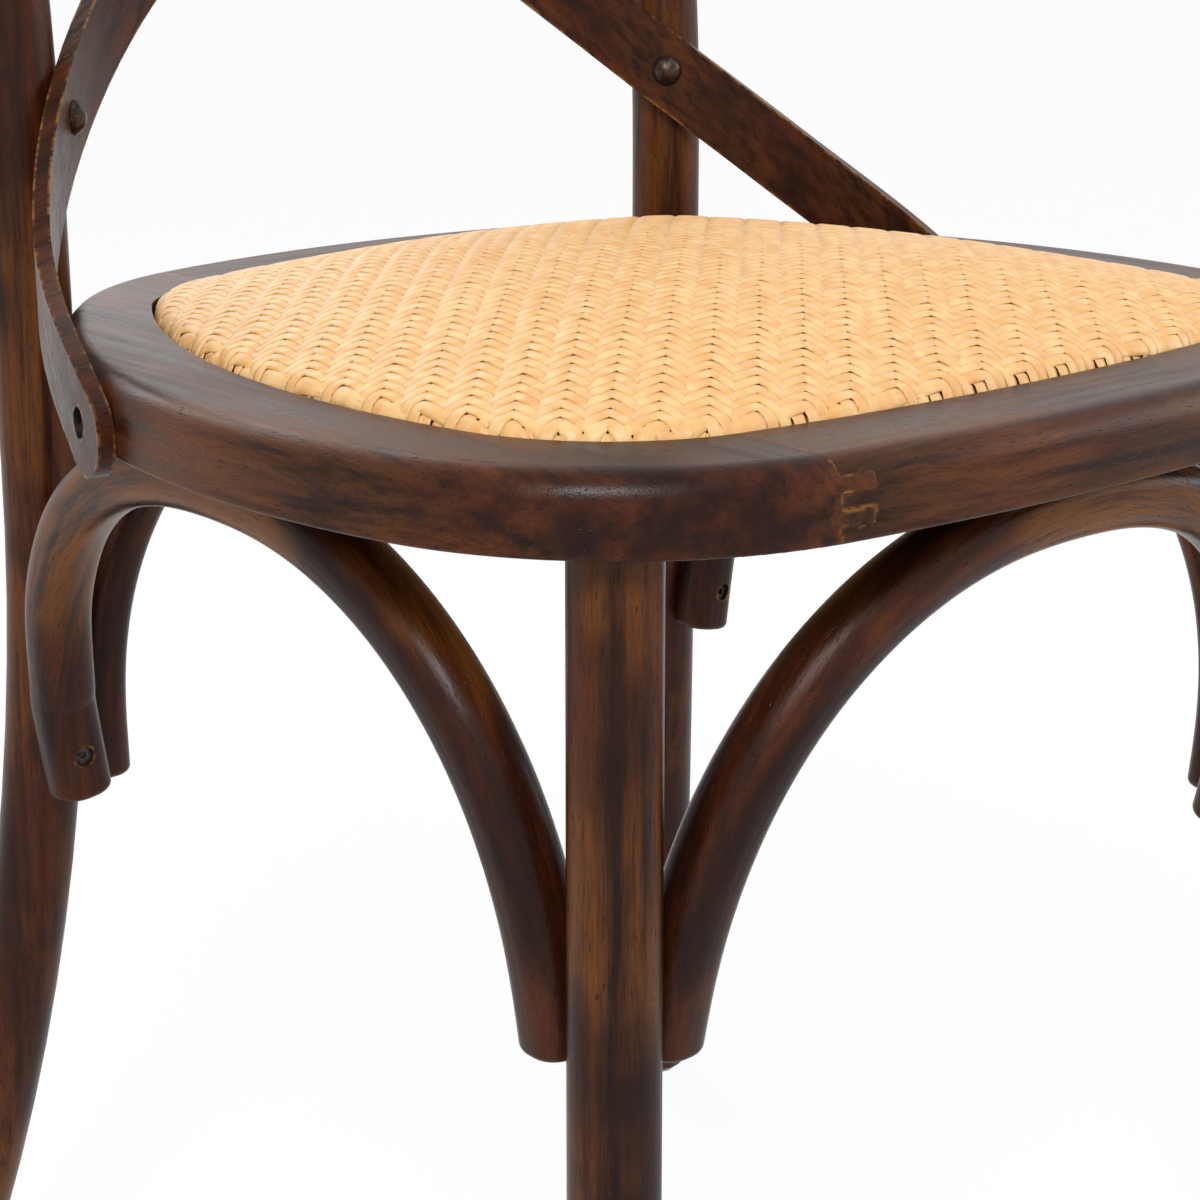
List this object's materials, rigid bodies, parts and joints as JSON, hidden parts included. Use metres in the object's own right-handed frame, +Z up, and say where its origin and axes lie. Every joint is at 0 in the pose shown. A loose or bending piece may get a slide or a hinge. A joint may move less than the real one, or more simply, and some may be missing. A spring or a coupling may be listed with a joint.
{
  "type": "cross back chair",
  "caption": "Bentwood dining chair with a hooped back crossed by bent straps, a round-cornered ring seat with a woven rattan pad, and arched braces under the seat.",
  "frame": {"origin": "on the floor, in the middle of the chair's width and depth", "axes": "+Z up, +X to the chair's own left as seen from behind its back (right as seen from the front), the back towards +Y"},
  "size_m": [0.4595, 0.467, 0.8849],
  "materials": {
    "stained_bentwood": "dark walnut stain, satin lacquer, worn edges",
    "plywood": "raw plywood",
    "seat_foam": "open foam",
    "woven_rattan": "woven peeled rattan, satin",
    "antiqued_metal": "antiqued, satin",
    "zinc_steel": "zinc plated",
    "nylon_glide": "plain nylon"
  },
  "bodies": {
    "root": {"back_hoop": "stained_bentwood", "front_leg_left": "stained_bentwood", "front_leg_right": "stained_bentwood", "seat_ring_front": "stained_bentwood", "seat_ring_rear": "stained_bentwood", "seat_ring_left": "stained_bentwood", "seat_ring_right": "stained_bentwood", "front_brace": "stained_bentwood", "rear_brace": "stained_bentwood", "side_brace_left": "stained_bentwood", "side_brace_right": "stained_bentwood", "cross_strap_left": "stained_bentwood", "cross_strap_right": "stained_bentwood", "seat_panel": "plywood", "seat_foam": "seat_foam", "woven_rattan_seat": "woven_rattan", "post_nails": "antiqued_metal", "strap_top_nails": "antiqued_metal", "crossing_rivet": "antiqued_metal", "strap_seat_bolts": "antiqued_metal", "hoop_bolts": "antiqued_metal", "hoop_barrel_nuts": "zinc_steel", "brace_leg_screws": "zinc_steel", "brace_seat_screws": "zinc_steel", "seat_panel_screws": "zinc_steel", "glide_pins": "zinc_steel", "front_glide_left": "nylon_glide", "front_glide_right": "nylon_glide", "rear_glide_left": "nylon_glide", "rear_glide_right": "nylon_glide"}
  },
  "joints": []
}
